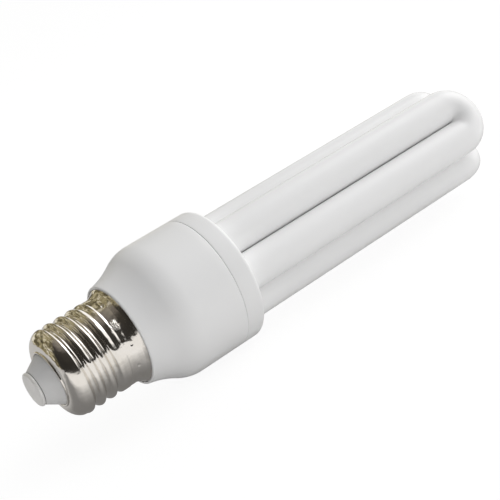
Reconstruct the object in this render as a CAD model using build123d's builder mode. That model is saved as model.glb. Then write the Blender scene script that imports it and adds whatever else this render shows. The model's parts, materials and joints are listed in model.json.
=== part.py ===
# Compact fluorescent lamp with three U-shaped tubes and an Edison screw cap.
# The lamp lies on its side: its axis runs along X, cap towards -X, tubes towards +X.
# A station is a distance along the lamp axis from the face of the centre contact.
import os
from math import acos, asin, atan2, cos, degrees, radians, sin, tan

from build123d import *

# Driving dimensions, in millimetres
seam_station = 57.2
tube_reach = 106.5
housing_diameter = 40.3
rim_width = 6.3
wall = 1.5

# Screw cap: standard thread rolled into thin sheet, so both sides of the wall follow it
thread_diameter = 26.2
thread_depth = 1.1
thread_pitch = 3.629
thread_turns = 4.5
crest_land = 0.7
root_land = 0.7
shell_wall = 0.35
cap_length = 28.3
nose_round = 4.5
lip_rise = 0.3
lip_width = 0.5
collar_drop = 0.15
collar_length = 5.4
flare_length = 3.3
flare_diameter = 28.8
stake_count = 12
stake_radius = 0.55
stake_depth = 0.23
stake_turn = 25.0
groove_lead = 1.26
groove_front = 2.4
groove_back = 0.5

# Centre contact and insulator
contact_diameter = 10.0
contact_height = 1.5
contact_face = 0.8
insulator_height = 4.3
opening_diameter = 15.4
shank_diameter = 3.2
rivet_depth = 0.6
rivet_flare = 0.7
rivet_wall = 0.2

# Ballast housing
neck_gap = 0.15
neck_depth = 8.2
cylinder_length = 14.2
shoulder_step = 0.85
shoulder_edge = 0.35
shoulder_round = 12.0
shoulder_thickening = 1.3
seam_chamfer = 0.3
bead_depth = 3.2
bead_height = 0.4
bead_width = 1.4
rib_depth = 3.0
rib_width = 1.2
rib_length = 9.9
slot_length = 6.0

# Tube holder and discharge tube
plate_thickness = 2.0
skirt_step = 1.4
skirt_depth = 4.7
rim_round = 1.3
leg_gap = 0.55
leg_margin = 0.65
hole_clearance = 0.07
base_depth = 3.2
bridge_diameter = 4.4
bridge_lift = 0.2
base_gap = 1.0
cement_depth = 1.2

# Circuit board and the leads
board_depth = 10.8
board_thickness = 1.6
board_margin = 1.05
lead_diameter = 0.8
lead_stub = 0.4
pin_edge = 2.2
neutral_edge = 3.0
live_offset = 1.0
notch_depth = 1.2
notch_width = 3.0

# Derived sizes
housing_radius = housing_diameter / 2
inner_radius = housing_radius - wall
thread_radius = thread_diameter / 2
root_radius = thread_radius - thread_depth
overall_length = seam_station + tube_reach
rim_station = seam_station + rim_width
nose_station = contact_height + insulator_height
nose_centre = nose_station + nose_round
nose_radius = thread_radius - nose_round
opening_radius = opening_diameter / 2
contact_radius = contact_diameter / 2
shank_radius = shank_diameter / 2
collar_radius = thread_radius - collar_drop
collar_inside = collar_radius - shell_wall
collar_station = cap_length - collar_length
flare_station = cap_length - flare_length
lead_radius = lead_diameter / 2

# Planes: the side view for turned outlines, and the view along the lamp axis
cap_end = -overall_length / 2
side = Plane(origin=(cap_end, 0, housing_radius), x_dir=(1, 0, 0), z_dir=(0, -1, 0))
across = Plane(origin=(cap_end, 0, housing_radius), x_dir=(0, 1, 0), z_dir=(1, 0, 0))
lamp_axis = Axis((cap_end, 0, housing_radius), (1, 0, 0))


def turned_across(angle):
    """The cross-section plane at the contact's face, turned about the lamp axis."""
    return Plane(across.location * Location((0, 0, 0), (0, 0, angle)))


def rounded(centre, radius, start, end, steps):
    """Points of a small round, drawn in straight steps from one angle to another in degrees."""
    angles = [radians(start + (end - start) * step / steps) for step in range(steps + 1)]
    return [(centre[0] + radius * cos(angle), centre[1] + radius * sin(angle)) for angle in angles]


# Thread groove: a helical cut between narrow crests, with sloped flanks and a narrow root
flank_run = (thread_pitch - crest_land - root_land) / 2
flank_slope = atan2(thread_depth, flank_run)
groove_start = nose_station + groove_lead
groove_first = nose_station + groove_front
groove_last = collar_station - groove_back
groove_fade = thread_pitch / 2


def groove_cutter(drop):
    """The helical groove's solid, offset towards the axis by drop."""
    crest = thread_radius - drop
    widen = drop * tan(flank_slope / 2)
    root_half = root_land / 2 + widen
    crest_half = root_half + flank_run
    deepest = crest - thread_depth - shell_wall
    helix_start = across.from_local_coords((0, 0, groove_start))
    with BuildPart() as cutter:
        with BuildLine() as path:
            Helix(thread_pitch, thread_pitch * thread_turns, crest, center=helix_start, direction=(1, 0, 0))
        start = path.line @ 0
        heading = path.line % 0
        with BuildSketch(Plane(origin=start, x_dir=(start - helix_start).cross(heading), z_dir=heading)):
            with BuildLine():
                Polyline(
                    (-crest_half, 0),
                    (-root_half, -thread_depth),
                    (root_half, -thread_depth),
                    (crest_half, 0),
                    (crest_half, thread_depth),
                    (-crest_half, thread_depth),
                    close=True,
                )
            make_face()
        sweep(is_frenet=True)
        # Both ends of the groove run out on a cone
        with BuildSketch(side):
            with BuildLine():
                Polyline(
                    (groove_first, crest),
                    (groove_first + groove_fade, deepest),
                    (groove_last - groove_fade, deepest),
                    (groove_last, crest),
                    (groove_last, crest + 2 * thread_depth),
                    (groove_first, crest + 2 * thread_depth),
                    close=True,
                )
            make_face()
        revolve(axis=lamp_axis, mode=Mode.INTERSECT)
    return cutter.part


outer_groove = groove_cutter(0)
inner_groove = groove_cutter(shell_wall)

# Rounds of the shell: the nose, and the flared skirt with the housing's seat inside it
nose_outside = rounded((nose_centre, nose_radius), nose_round, 180, 90, 3)
nose_inside = rounded((nose_centre, nose_radius), nose_round - shell_wall, 180, 90, 3)
flare_rise = flare_diameter / 2 - collar_radius
flare_round = (flare_length**2 + flare_rise**2) / (2 * flare_rise)
flare_centre = (flare_station, collar_radius + flare_round)
flare_angle = degrees(asin(flare_length / flare_round))
seat_angle = degrees(asin(flare_length / (flare_round + shell_wall)))
flare_outside = rounded(flare_centre, flare_round, -90, flare_angle - 90, 3)
flare_inside = rounded(flare_centre, flare_round + shell_wall, -90, seat_angle - 90, 3)

# Inside of the screw shell, one wall thickness in from its outside
with BuildPart() as shell_core:
    with BuildSketch(side):
        with BuildLine():
            Polyline(
                (nose_station - contact_height, 0),
                (nose_station - contact_height, opening_radius),
                (nose_station + shell_wall, opening_radius),
                *nose_inside,
                (collar_station, thread_radius - shell_wall),
                (collar_station + collar_drop, collar_inside),
                *flare_inside,
                (cap_length, 0),
                close=True,
            )
        make_face()
    revolve(axis=lamp_axis)
    add(inner_groove, mode=Mode.SUBTRACT)

# Screw shell: thin metal with a folded lip at the nose, a flared skirt and stake marks
with BuildPart() as screw_shell:
    with BuildSketch(side):
        with BuildLine():
            Polyline(
                (nose_station - lip_rise, 0),
                (nose_station - lip_rise, opening_radius + lip_width),
                (nose_station, opening_radius + lip_width),
                *nose_outside,
                (collar_station, thread_radius),
                (collar_station + collar_drop, collar_radius),
                *flare_outside,
                (cap_length, 0),
                close=True,
            )
        make_face()
    revolve(axis=lamp_axis)
    add(outer_groove, mode=Mode.SUBTRACT)
    add(shell_core.part, mode=Mode.SUBTRACT)
    with Locations(across.offset(flare_station + stake_radius)):
        with PolarLocations(collar_radius + stake_radius - stake_depth, stake_count, start_angle=stake_turn):
            Sphere(stake_radius, mode=Mode.SUBTRACT)
screw_shell.part.label = "screw_shell"

# Insulator: moulded cone that fills the nose of the shell behind the contact
insulator_top = nose_inside[2][0]
insulator_edge = nose_inside[2][1]
shank_end = insulator_top - rivet_depth
with BuildPart() as insulator:
    with BuildSketch(side):
        with BuildLine():
            Polyline(
                (insulator_top, insulator_edge),
                (insulator_top, nose_radius),
                (shank_end, shank_radius),
                (contact_height, shank_radius),
                (contact_height, contact_radius),
                (nose_station - lip_rise, opening_radius),
                (nose_station + shell_wall, opening_radius),
                *nose_inside[:2],
                close=True,
            )
        make_face()
    revolve(axis=lamp_axis)
insulator.part.label = "insulator"

# Centre contact: a flat land with a rounded edge, and a tubular shank flared over the insulator
contact_round = 0.8 * contact_height
flare_height = rivet_flare * rivet_depth / (nose_radius - shank_radius)
with BuildPart() as centre_contact:
    with BuildSketch(side):
        with BuildLine():
            Polyline(
                (0, 0),
                *rounded((contact_round, contact_radius - contact_round), contact_round, 180, 90, 3),
                (contact_height, contact_radius),
                (contact_height, shank_radius),
                (shank_end, shank_radius),
                (shank_end + flare_height, shank_radius + rivet_flare),
                (shank_end + flare_height + rivet_wall, shank_radius + rivet_flare),
                (shank_end + rivet_wall, lead_radius),
                (contact_face, lead_radius),
                (contact_face, 0),
                close=True,
            )
        make_face()
    revolve(axis=lamp_axis)
centre_contact.part.label = "centre_contact"

# Ballast housing: neck inside the cap, an S-curved shoulder, and a cylinder up to the seam
neck_radius = root_radius - shell_wall - neck_gap
neck_start = nose_station + neck_depth
neck_bore = neck_radius - wall
shoulder_start = cap_length + shoulder_edge
shoulder_radius = flare_diameter / 2 + shoulder_step
shoulder_end = seam_station - cylinder_length
bead_station = seam_station - bead_depth
board_station = seam_station - board_depth

# The shoulder is a hollow arc that leaves the cap on a slight slope, then a full arc
chord_angle = atan2(housing_radius - shoulder_radius, shoulder_end - shoulder_start)
leave_angle = 0.6 * chord_angle
leave_direction = Vector(cos(leave_angle), sin(leave_angle))
leave_normal = Vector(-sin(leave_angle), cos(leave_angle))
leave_point = Vector(shoulder_start, shoulder_radius)
full_centre = Vector(shoulder_end, housing_radius - shoulder_round)
reach = leave_point - full_centre
hollow_round = (reach.dot(reach) - shoulder_round**2) / (2 * (shoulder_round - reach.dot(leave_normal)))
hollow_centre = leave_point + leave_normal * hollow_round
arcs_meet = full_centre + (hollow_centre - full_centre) * (shoulder_round / (shoulder_round + hollow_round))
with BuildPart() as ballast_housing:
    with BuildSketch(side):
        with BuildLine():
            Polyline(
                (neck_start, neck_bore),
                (neck_start, neck_radius),
                (collar_station - shell_wall, neck_radius),
                (collar_station + 2 * collar_drop + shell_wall, collar_inside),
                *flare_inside,
                (cap_length, shoulder_radius - shoulder_edge),
                (shoulder_start, shoulder_radius),
            )
            hollow = TangentArc((shoulder_start, shoulder_radius), arcs_meet, tangent=leave_direction)
            TangentArc(arcs_meet, (shoulder_end, housing_radius), tangent=hollow % 1)
            Polyline(
                (shoulder_end, housing_radius),
                (seam_station - seam_chamfer, housing_radius),
                (seam_station, housing_radius - seam_chamfer),
                (seam_station, inner_radius),
                (bead_station + bead_width / 2, inner_radius),
                (bead_station, inner_radius + bead_height),
                (bead_station - bead_width / 2, inner_radius),
                (shoulder_end + wall / 2, inner_radius),
                (arcs_meet.X + wall / 2, arcs_meet.Y - wall),
                (shoulder_start + wall, shoulder_radius - shoulder_thickening * wall),
                (cap_length - shoulder_edge, neck_bore),
                (neck_start, neck_bore),
            )
        make_face()
    revolve(axis=lamp_axis)
    # Four ribs inside the shoulder carry the circuit board
    with BuildSketch(across.offset(board_station)):
        with PolarLocations(inner_radius - rib_depth / 2, 4, start_angle=45):
            Rectangle(rib_depth, rib_width)
    extrude(amount=-rib_length)
    # The neck is slotted for the neutral lead
    with Locations(across.offset(neck_start)):
        with PolarLocations(neck_radius, 1, start_angle=-90):
            Box(3 * wall, 2 * lead_diameter, slot_length, mode=Mode.SUBTRACT)
ballast_housing.part.label = "ballast_housing"

# Tube holder: cover ring with a rounded rim, a skirt that snaps into the housing, and six holes
plate_station = rim_station - plate_thickness
skirt_radius = inner_radius - skirt_step
skirt_end = seam_station - skirt_depth
tube_diameter = (skirt_radius - leg_gap - leg_margin) / 1.5
tube_radius = tube_diameter / 2
leg_circle = tube_diameter + leg_gap
hole_radius = tube_radius + hole_clearance
with BuildPart() as tube_holder:
    with BuildSketch(side):
        with BuildLine():
            Polyline(
                (plate_station, 0),
                (plate_station, skirt_radius),
                (skirt_end, skirt_radius),
                (skirt_end, inner_radius - bead_height),
                (skirt_end + bead_height, inner_radius),
                (bead_station - bead_width / 2, inner_radius),
                (bead_station, inner_radius + bead_height),
                (bead_station + bead_width / 2, inner_radius),
                (seam_station, inner_radius),
                (seam_station, housing_radius - seam_chamfer),
                (seam_station + seam_chamfer, housing_radius),
                *rounded((rim_station - rim_round, housing_radius - rim_round), rim_round, 90, 0, 3),
                (rim_station, 0),
                close=True,
            )
        make_face()
    revolve(axis=lamp_axis)
    with BuildSketch(across.offset(plate_station)):
        with PolarLocations(leg_circle, 6):
            Circle(hole_radius)
    extrude(amount=plate_thickness, mode=Mode.SUBTRACT)
tube_holder.part.label = "tube_holder"

# Discharge tube: three U-shaped tubes in a triangle, joined in a row by two short bridges
tube_base = plate_station - base_depth - bridge_diameter - base_gap
bridge_station = tube_base + (base_depth + bridge_diameter) / 2 + bridge_lift
bend_station = overall_length - leg_circle / 2 - tube_radius
middle_offset = leg_circle * cos(radians(30))
with BuildPart() as discharge_tube:
    for turn in (0, 120, 240):
        turned = turned_across(turn)
        u_origin = turned.from_local_coords((0, -middle_offset, 0))
        with BuildLine(Plane(origin=u_origin, x_dir=turned.x_dir, z_dir=-turned.y_dir)) as u_path:
            Line((-leg_circle / 2, tube_base), (-leg_circle / 2, bend_station))
            ThreePointArc(
                (-leg_circle / 2, bend_station),
                (0, bend_station + leg_circle / 2),
                (leg_circle / 2, bend_station),
            )
            Line((leg_circle / 2, bend_station), (leg_circle / 2, tube_base))
        with BuildSketch(Plane(origin=u_path.line @ 0, z_dir=u_path.line % 0)):
            Circle(tube_radius)
        sweep()
    chamfer(discharge_tube.faces().filter_by(GeomType.PLANE).edges(), tube_radius / 4)
    for turn in (90, 330):
        turned = turned_across(turn)
        bridge_middle = turned.from_local_coords((middle_offset, 0, bridge_station))
        with BuildSketch(Plane(origin=bridge_middle, x_dir=turned.x_dir, z_dir=turned.y_dir)):
            Circle(bridge_diameter / 2)
        extrude(amount=leg_gap / 2 + tube_radius / 2, both=True)
discharge_tube.part.label = "discharge_tube"

# Cement that holds the tube's legs under the cover plate
with BuildPart() as tube_cement:
    with BuildSketch(across.offset(plate_station)):
        Circle(skirt_radius)
        with PolarLocations(leg_circle, 6):
            Circle(tube_radius, mode=Mode.SUBTRACT)
        Circle(leg_circle - tube_radius - wall, mode=Mode.SUBTRACT)
    extrude(amount=-cement_depth)
tube_cement.part.label = "tube_cement"

# Circuit board on the ribs, with holes for the leads that pass through it
board_top = board_station + board_thickness
board_radius = inner_radius - board_margin
pin_circle = board_radius - pin_edge
neutral_offset = board_radius - neutral_edge
with BuildPart() as circuit_board:
    with BuildSketch(across.offset(board_station)):
        Circle(board_radius)
        with PolarLocations(board_radius, 2):
            Rectangle(2 * notch_depth, notch_width, mode=Mode.SUBTRACT)
        with Locations((0, live_offset), (0, -neutral_offset)):
            Circle(lead_radius, mode=Mode.SUBTRACT)
    extrude(amount=board_thickness)
circuit_board.part.label = "circuit_board"

# Smoothing capacitor: a can with a crimped neck, standing on the board and reaching to the cap
can_radius = 5.0
can_offset = -5.8
can_bevel = 0.8
can_clearance = 3.6
crimp_place = 2.2
can_station = cap_length + can_clearance
crimp_station = board_station - crimp_place
crimp_half = 0.8
crimp_depth = 0.5
can_origin = across.from_local_coords((0, can_offset, 0))
with BuildPart() as smoothing_capacitor:
    with BuildSketch(Plane(origin=can_origin, x_dir=side.x_dir, z_dir=side.z_dir)):
        with BuildLine():
            Polyline(
                (can_station, 0),
                (can_station, can_radius - can_bevel),
                (can_station + can_bevel, can_radius),
                (crimp_station - crimp_half, can_radius),
                (crimp_station, can_radius - crimp_depth),
                (crimp_station + crimp_half, can_radius),
                (board_station, can_radius),
                (board_station, 0),
                close=True,
            )
        make_face()
    revolve(axis=Axis(can_origin, (1, 0, 0)))
smoothing_capacitor.part.label = "smoothing_capacitor"

# Choke: two E-shaped core halves around a bobbin with its winding
core_width = 12.0
core_height = 11.0
core_depth = 4.4
core_leg = 2.4
bobbin_wall = 0.4
flange_thickness = 0.5
flange_reach = 3.0
winding_inset = 0.2
winding_corner = 1.2
choke_offset = 7.9
choke_middle = board_station - core_height / 2
slot_middle = core_width / 4 + core_leg / 8
with BuildPart() as choke_core_near:
    with BuildSketch(across.offset(choke_middle)):
        with Locations((0, choke_offset)):
            Rectangle(core_width, core_depth)
    extrude(amount=-core_height / 2)
    with BuildSketch(across.offset(choke_middle)):
        with Locations((-slot_middle, choke_offset), (slot_middle, choke_offset)):
            Rectangle(core_leg, core_depth)
    extrude(amount=core_leg - core_height / 2, mode=Mode.SUBTRACT)
choke_core_near.part.label = "choke_core_near"

with BuildPart() as choke_core_far:
    mirror(choke_core_near.part, about=across.offset(choke_middle))
choke_core_far.part.label = "choke_core_far"

post_half = slot_middle - core_leg / 2
bobbin_half = core_height / 2 - core_leg
flange_width = 2 * (post_half + core_leg)
with BuildPart() as choke_bobbin:
    with BuildSketch(across.offset(choke_middle)):
        with Locations((0, choke_offset)):
            Rectangle(2 * (post_half + bobbin_wall), core_depth + 2 * bobbin_wall)
    extrude(amount=bobbin_half, both=True)
    for end in (-1, 1):
        with BuildSketch(across.offset(choke_middle + end * bobbin_half)):
            with Locations((0, choke_offset)):
                Rectangle(flange_width, core_depth + 2 * flange_reach)
        extrude(amount=-end * flange_thickness)
    with BuildSketch(across.offset(choke_middle)):
        with Locations((0, choke_offset)):
            Rectangle(2 * post_half, core_depth)
    extrude(amount=bobbin_half, both=True, mode=Mode.SUBTRACT)
choke_bobbin.part.label = "choke_bobbin"

winding_depth = core_depth + 2 * flange_reach - 5 * winding_inset
with BuildPart() as choke_winding:
    with BuildSketch(across.offset(choke_middle)):
        with Locations((0, choke_offset)):
            RectangleRounded(flange_width - 2 * winding_inset, winding_depth, winding_corner)
            Rectangle(2 * (post_half + bobbin_wall), core_depth + 2 * bobbin_wall, mode=Mode.SUBTRACT)
    extrude(amount=bobbin_half - flange_thickness, both=True)
choke_winding.part.label = "choke_winding"

# Drive transformer: a small ring core with two windings, each over part of the ring
ring_outer = 4.3
ring_inner = 2.4
ring_height = 2.4
winding_wall = 0.5
ring_edge = 9.2
ring_row = 11.0
ring_place = (ring_edge - board_radius, board_radius - ring_row)
ring_station = board_top + winding_wall
with BuildPart() as drive_ring:
    with BuildSketch(across.offset(ring_station)):
        with Locations(ring_place):
            Circle(ring_outer)
            Circle(ring_inner, mode=Mode.SUBTRACT)
    extrude(amount=ring_height)
drive_ring.part.label = "drive_ring"

ring_origin = across.from_local_coords((ring_place[0], ring_place[1], ring_station + ring_height / 2))
windings = []
for turn, winding_arc in ((20, 130), (200, 80)):
    winding_start = turned_across(turn)
    with BuildPart() as winding:
        with BuildSketch(Plane(origin=ring_origin, x_dir=winding_start.x_dir, z_dir=winding_start.y_dir)):
            with Locations(((ring_outer + ring_inner) / 2, 0)):
                Rectangle(ring_outer - ring_inner + 2 * winding_wall, ring_height + 2 * winding_wall)
                Rectangle(ring_outer - ring_inner, ring_height, mode=Mode.SUBTRACT)
        revolve(axis=Axis(ring_origin, (1, 0, 0)), revolution_arc=winding_arc)
    windings.append(winding.part)
drive_winding, control_winding = windings
drive_winding.label = "drive_winding"
control_winding.label = "control_winding"

# Transistors: flat-faced cases on three legs that stand on the board
case_radius = 2.4
case_length = 4.8
leg_length = 2.0
leg_pitch = 1.27
leg_width = 0.45
leg_inset = 0.4
transistor_edge = 6.3
transistor_reach = board_radius - transistor_edge
transistor_row = -4.5
transistors = []
for place in (-transistor_reach, transistor_reach):
    with BuildPart() as transistor:
        with BuildSketch(across.offset(board_station - leg_length)):
            with Locations((place, transistor_row)):
                Circle(case_radius)
            with Locations((place, transistor_row + case_radius)):
                Rectangle(2 * case_radius, case_radius, mode=Mode.SUBTRACT)
        extrude(amount=-case_length)
        with BuildSketch(across.offset(board_station)):
            with Locations((place, transistor_row - leg_inset)):
                with GridLocations(leg_pitch, leg_pitch, 3, 1):
                    Rectangle(leg_width, leg_width)
        extrude(amount=-leg_length)
    transistors.append(transistor.part)
transistor_left, transistor_right = transistors
transistor_left.label = "transistor_left"
transistor_right.label = "transistor_right"

# Film capacitors: dipped blocks on two wire legs
dip_gap = 0.8
dip_leg_radius = 0.3
dip_leg_pitch = 5.0
dip_bevel = 0.8
dip_edge = 7.0
dip_reach = board_radius - dip_edge
dip_row = 3.4
film_size = (4.2, 8.5, 8.0)
start_size = (3.4, 7.5, 6.5)
dipped = []
for place, (width, length, height) in ((-dip_reach, film_size), (dip_reach, start_size)):
    with BuildPart() as capacitor:
        with BuildSketch(across.offset(board_station - dip_gap)):
            with Locations((place, dip_row)):
                RectangleRounded(width, length, width / 4)
        extrude(amount=-height)
        chamfer(capacitor.edges().group_by(Axis.X)[0], dip_bevel)
        with BuildSketch(across.offset(board_station)):
            with Locations((place, dip_row)):
                with GridLocations(1, dip_leg_pitch, 1, 2):
                    Circle(dip_leg_radius)
        extrude(amount=-dip_gap)
    dipped.append(capacitor.part)
film_capacitor, start_capacitor = dipped
film_capacitor.label = "film_capacitor"
start_capacitor.label = "start_capacitor"

# Rectifier: four axial diodes side by side on the tube side of the board
diode_pitch = 3.6
diode_length = 4.6
diode_radius = 1.25
diode_row = -4.5
diode_leg = 1.4
diode_foot = diode_length / 2 + diode_leg
diode_height = board_top + diode_radius
diodes = []
for place in (-1.5, -0.5, 0.5, 1.5):
    diode_origin = across.from_local_coords((place * diode_pitch, diode_row, 0))
    row_plane = Plane(origin=diode_origin, x_dir=(0, 0, 1), z_dir=(0, 1, 0))
    with BuildPart() as diode:
        with BuildLine(row_plane) as legs:
            Polyline(
                (-diode_foot, board_top),
                (-diode_foot, diode_height),
                (diode_foot, diode_height),
                (diode_foot, board_top),
            )
        with BuildSketch(Plane(origin=legs.line @ 0, z_dir=legs.line % 0)):
            Circle(lead_radius / 2)
        sweep(transition=Transition.RIGHT)
        with BuildSketch(Plane(origin=row_plane.from_local_coords((0, diode_height, 0)), z_dir=(0, 0, 1))):
            Circle(diode_radius)
        extrude(amount=diode_length / 2, both=True)
    diodes.append(diode.part)
for number, diode_part in enumerate(diodes, start=1):
    diode_part.label = f"rectifier_diode_{number}"

# Fusible resistor on the lamp axis, inside the neck
resistor_gap = 1.0
resistor_start = neck_start + resistor_gap
resistor_length = 9.0
resistor_end = resistor_start + resistor_length
end_radius = 1.8
waist_radius = 1.5
end_length = 1.8
with BuildPart() as fusible_resistor:
    with BuildSketch(side):
        with BuildLine():
            Polyline(
                (resistor_start, 0),
                (resistor_start, end_radius),
                (resistor_start + end_length, end_radius),
                (resistor_start + end_length, waist_radius),
                (resistor_end - end_length, waist_radius),
                (resistor_end - end_length, end_radius),
                (resistor_end, end_radius),
                (resistor_end, 0),
                close=True,
            )
        make_face()
    revolve(axis=lamp_axis)
fusible_resistor.part.label = "fusible_resistor"

# Live lead: from the contact's bore to the resistor, and on to the board
with BuildPart() as live_lead_cap:
    with BuildSketch(across.offset(contact_face)):
        Circle(lead_radius)
    extrude(amount=resistor_start - contact_face)
live_lead_cap.part.label = "live_lead_cap"

with BuildPart() as live_lead_board:
    with BuildLine(side):
        Polyline(
            (resistor_end, 0),
            (resistor_end + live_offset, 0),
            (resistor_end + 3 * live_offset, live_offset),
            (board_top + lead_stub, live_offset),
        )
    with BuildSketch(across.offset(resistor_end)):
        Circle(lead_radius)
    sweep(transition=Transition.RIGHT)
live_lead_board.part.label = "live_lead_board"

# Neutral lead: from the board down the neck, then out through its slot to the shell
bend_gap = 1.2
run_gap = 1.0
shell_gap = 0.2
knee_gap = 3.3
lead_entry = 0.3
neutral_bend = neck_start - bend_gap
neck_run = run_gap - neck_bore
shell_reach = shell_gap - root_radius + shell_wall
with BuildPart() as neutral_lead:
    with BuildLine(side):
        Polyline(
            (neutral_bend, shell_reach),
            (neutral_bend, neck_run),
            (cap_length - lead_entry, neck_run),
            (can_station + knee_gap, -neutral_offset),
            (board_top + lead_stub, -neutral_offset),
        )
    with BuildSketch(Plane(origin=side.from_local_coords((neutral_bend, shell_reach, 0)), z_dir=(0, 0, 1))):
        Circle(lead_radius)
    sweep(transition=Transition.RIGHT)
neutral_lead.part.label = "neutral_lead"

# Wrap pins on the board, and the electrode leads of the tube's two end legs wound on them
pin_side = 0.9
pin_height = 4.2
pin_bevel = 0.2
coil_clearance = 0.2
coil_radius = pin_side / 2 + coil_clearance
coil_wire = 0.35
coil_length = 1.4
coil_lift = 1.6
coil_station = board_top + coil_lift
pins = []
leads = []
for angle, leg_angle in ((168, 180), (192, 180), (228, 240), (252, 240)):
    pin_plane = turned_across(angle)
    with BuildPart() as pin:
        with BuildSketch(pin_plane.offset(board_top)):
            with Locations((pin_circle, 0)):
                Rectangle(pin_side, pin_side)
        extrude(amount=pin_height)
        chamfer(pin.edges().group_by(Axis.X)[-1], pin_bevel)
    pins.append(pin.part)
    pin_point = Vector(pin_circle * cos(radians(angle)), pin_circle * sin(radians(angle)))
    leg_point = Vector(leg_circle * cos(radians(leg_angle)), leg_circle * sin(radians(leg_angle)))
    leave = leg_point + (pin_point - leg_point) * 0.3
    arrive = pin_point + (leg_point - pin_point).normalized() * (coil_radius + coil_wire)
    with BuildPart() as lead:
        with BuildLine() as lead_path:
            Polyline(
                across.from_local_coords((leave.X, leave.Y, tube_base)),
                across.from_local_coords((leave.X, leave.Y, coil_station + coil_length)),
                across.from_local_coords((arrive.X, arrive.Y, coil_station + coil_length / 2)),
            )
        with BuildSketch(Plane(origin=lead_path.line @ 0, z_dir=lead_path.line % 0)):
            Circle(coil_wire / 2)
        sweep(transition=Transition.RIGHT)
        with BuildSketch(pin_plane.offset(coil_station)):
            with Locations((pin_circle, 0)):
                Circle(coil_radius + coil_wire)
                Circle(coil_radius, mode=Mode.SUBTRACT)
        extrude(amount=coil_length)
    leads.append(lead.part)
for number, (pin_part, lead_part) in enumerate(zip(pins, leads), start=1):
    pin_part.label = f"wrap_pin_{number}"
    lead_part.label = f"electrode_lead_{number}"

os.makedirs("parts", exist_ok=True)
pieces = [
    screw_shell.part,
    insulator.part,
    centre_contact.part,
    ballast_housing.part,
    tube_holder.part,
    discharge_tube.part,
    tube_cement.part,
    circuit_board.part,
    smoothing_capacitor.part,
    choke_core_near.part,
    choke_core_far.part,
    choke_bobbin.part,
    choke_winding.part,
    drive_ring.part,
    drive_winding,
    control_winding,
    transistor_left,
    transistor_right,
    film_capacitor,
    start_capacitor,
    fusible_resistor.part,
    live_lead_cap.part,
    live_lead_board.part,
    neutral_lead.part,
]
for piece in pieces + diodes + pins + leads:
    print(piece.label, round(piece.volume, 1), len(piece.solids()), piece.is_valid)
    export_step(piece, f"parts/{piece.label}.step")
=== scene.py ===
# %% [markdown]
# # A compact fluorescent lamp
# This lesson dresses a CAD model of a lamp that lies on its side on a pale floor.
# The frame holds every solid in metres. Its X axis is the lamp's axis, with the screw cap at the
# low end and the glass tubes at the high end, and the floor is at Z = 0.

import json
from math import atan2, cos, degrees, pi, radians, sin, sqrt

import bpy
from mathutils import Matrix, Vector


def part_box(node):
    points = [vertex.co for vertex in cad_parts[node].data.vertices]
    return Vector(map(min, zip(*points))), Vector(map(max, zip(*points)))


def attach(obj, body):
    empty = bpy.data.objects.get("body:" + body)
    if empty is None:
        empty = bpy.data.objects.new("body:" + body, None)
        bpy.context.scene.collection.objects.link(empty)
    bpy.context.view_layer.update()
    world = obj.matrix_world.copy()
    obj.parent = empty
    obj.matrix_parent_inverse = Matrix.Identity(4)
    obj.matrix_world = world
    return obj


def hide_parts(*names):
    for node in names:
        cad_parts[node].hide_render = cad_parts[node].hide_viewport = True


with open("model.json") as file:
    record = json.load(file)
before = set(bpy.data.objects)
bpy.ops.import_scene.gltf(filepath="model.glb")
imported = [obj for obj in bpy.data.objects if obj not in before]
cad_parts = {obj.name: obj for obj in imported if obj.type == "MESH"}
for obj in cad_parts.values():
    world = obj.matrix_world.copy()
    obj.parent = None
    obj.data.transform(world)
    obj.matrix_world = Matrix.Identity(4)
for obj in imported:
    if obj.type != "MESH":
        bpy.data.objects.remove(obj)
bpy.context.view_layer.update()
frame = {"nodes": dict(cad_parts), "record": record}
nodes = frame["nodes"]
record = frame["record"]
slot_of = {part["node"]: part["material_slot"] for part in record["subparts"]}
bpy.ops.object.select_all(action="DESELECT")

# %% [markdown]
# ## Where things are along the lamp
# The turned pieces share one axis, so a place on them is a station along X and a radius. The
# frame gives the ends of every node, and the radii follow from the widths of their boxes.


# %% Measure the frame
def span(node_name):
    """First and last station and outer radius of a turned node."""
    low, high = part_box(node_name)
    return low.x, high.x, (high.y - low.y) / 2


contact_face_x, contact_end, contact_radius = span("centre_contact")
_, shell_end, flare_radius = span("screw_shell")
housing_front, seam_x, housing_radius = span("ballast_housing")
holder_front, rim_x, _ = span("tube_holder")
tube_base, tube_end, tube_reach = span("discharge_tube")
axis_height = sum(corner.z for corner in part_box("ballast_housing")) / 2
seam_point = Vector((seam_x, 0, axis_height))
print("axis height", round(axis_height, 5), "seam", round(seam_x, 5), "tubes end", round(tube_end, 5))

# %% [markdown]
# ## The camera
# The photograph was taken from the cap's side, close to the lamp, with the camera turned about its
# own line of sight. The camera is set from three angles: how far the lamp's axis leans away
# from the picture plane, how it slopes across the picture, and from which side round the axis the
# camera looks.

# %% Set the camera
LEAN_AWAY = radians(26.5)
SLOPE = radians(31.9)
SIDE_ROUND_AXIS = radians(160.0)
DISTANCE = 0.345
PICTURE_SIZE = 500
SEAM_PIXEL = (202.3, 284.5)
PIXELS_PER_METRE = 3545.0

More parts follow.
